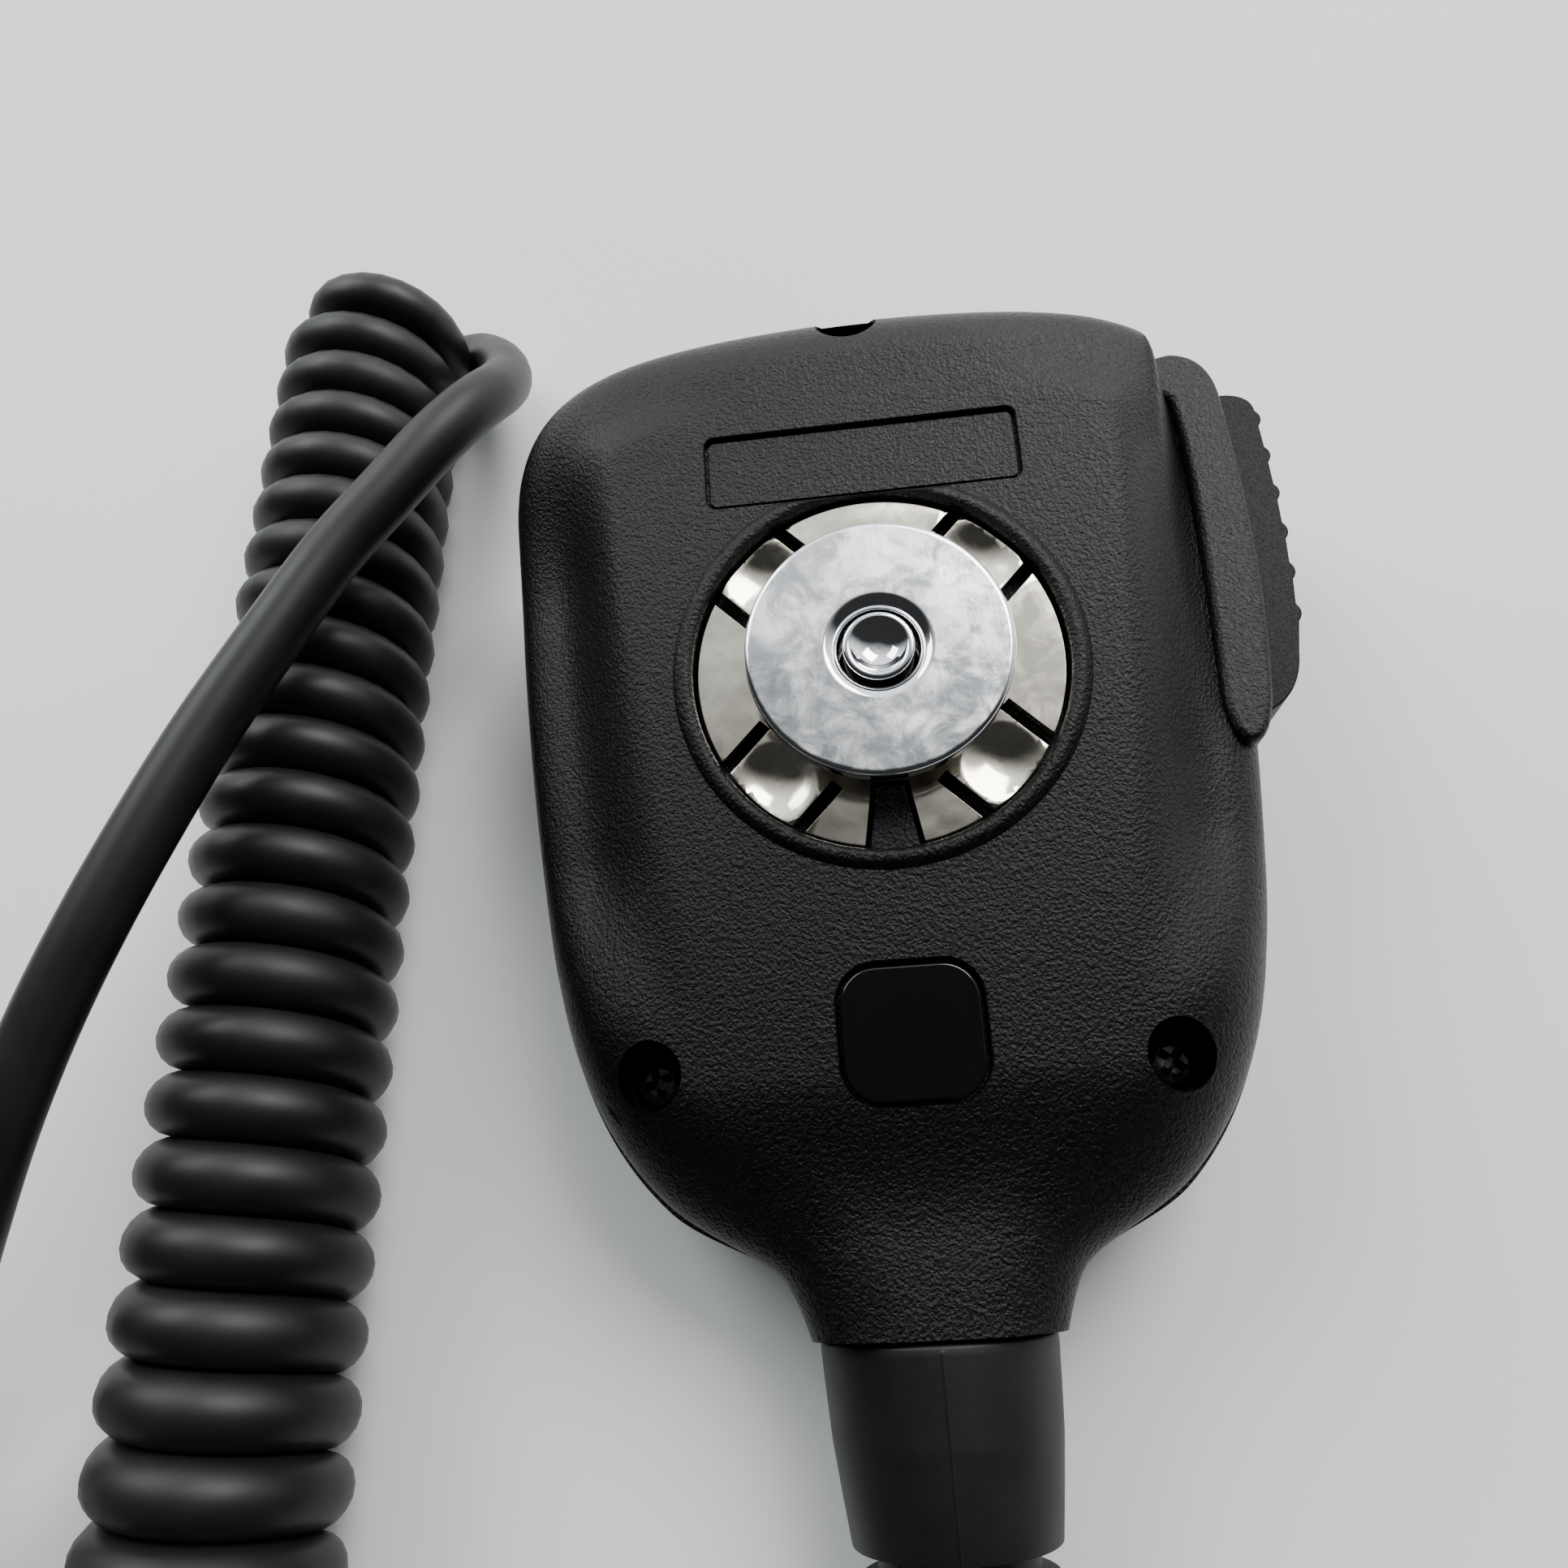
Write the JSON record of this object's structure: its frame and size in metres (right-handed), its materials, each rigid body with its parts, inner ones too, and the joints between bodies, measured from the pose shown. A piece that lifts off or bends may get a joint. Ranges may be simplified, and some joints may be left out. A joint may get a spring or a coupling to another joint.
{
  "type": "hand microphone",
  "caption": "Palm-held radio microphone with a side push-to-talk lever, a round hang-up button on its back and a curly cord with a modular plug.",
  "frame": {"origin": "centre of the microphone's footprint (housing, lever, button and strain relief, without the cord) on the surface that it lies on", "axes": "+Y from the strain relief to the microphone's top end, +Z out of its back, +X towards the push-to-talk lever; the microphone lies on its front face"},
  "size_m": [0.1301, 0.2007, 0.0284],
  "materials": {
    "housing_black": "moulded grain, satin",
    "dark_rubber": "satin",
    "steel": "plain",
    "gloss_black": "gloss",
    "nickel": "bright nickel plate",
    "zinc": "passivated zinc plate",
    "brass": "plain",
    "lever_black": "satin",
    "chip_black": "matte",
    "board_green": "solder mask",
    "clear_plastic": "clear",
    "felt": "felt",
    "wire_red": "satin",
    "wire_white": "satin",
    "wire_blue": "satin",
    "wire_black": "satin",
    "cord_rubber": "satin",
    "gold": "gold plate"
  },
  "bodies": {
    "housing": {"spring_plate": "nickel", "hang_up_button": "zinc", "button_stud": "nickel", "button_spacer": "zinc", "stud_washer": "steel", "stud_nut": "brass", "rear_housing": "housing_black", "front_housing": "housing_black", "case_seal_long": "dark_rubber", "case_seal_short": "dark_rubber", "housing_screw_left": "steel", "housing_screw_right": "steel", "housing_screw_top": "steel", "gloss_inlay": "gloss_black", "ptt_pivot_pin": "steel", "switch_body": "chip_black", "ptt_return_spring": "steel", "circuit_board": "board_green", "board_screw_1": "steel", "board_screw_2": "steel", "amplifier_chip": "chip_black", "capacitor_1": "steel", "capacitor_2": "steel", "wire_header": "clear_plastic", "hook_contact": "brass", "dust_screen": "felt", "capsule_grommet": "dark_rubber", "microphone_capsule": "zinc", "strain_relief": "dark_rubber", "cord_wire_1": "wire_red", "cord_wire_2": "wire_white", "cord_wire_3": "wire_blue", "cord_wire_4": "wire_black", "cord_clamp": "steel", "cord_tail_mic": "cord_rubber", "cord_coil": "cord_rubber", "cord_tail_plug": "cord_rubber", "plug_boot": "dark_rubber", "plug_body": "clear_plastic", "plug_contact_1": "gold", "plug_contact_2": "gold", "plug_contact_3": "gold", "plug_contact_4": "gold", "plug_contact_5": "gold", "plug_contact_6": "gold", "plug_contact_7": "gold", "plug_contact_8": "gold"},
    "lever": {"ptt_lever": "lever_black"},
    "plunger": {"switch_plunger": "lever_black"},
    "latch": {"plug_latch": "clear_plastic"}
  },
  "joints": [
    {"name": "ptt_press", "type": "hinge", "parent": "housing", "child": "lever", "pos_m": [0.0262, 0.048, 0.0111], "axis": [0, 0, -1], "range_deg": [0, 3], "stiffness_Nm_per_rad": 1.5, "springref_deg": -1.72, "deforming": ["ptt_return_spring"]},
    {"name": "plunger_slide", "type": "slide", "parent": "housing", "child": "plunger", "axis": [-1, 0, 0], "range_m": [0, 0.0013]},
    {"name": "latch_press", "type": "hinge", "parent": "housing", "child": "latch", "pos_m": [-0.0906, -0.0825, 0.0073], "axis": [-1, 0, 0], "range_deg": [0, 4.5], "stiffness_Nm_per_rad": 0.05}
  ],
  "couplings": [
    {"joint": "plunger_slide", "follows": "ptt_press", "m_per_rad": 0.0224}
  ]
}
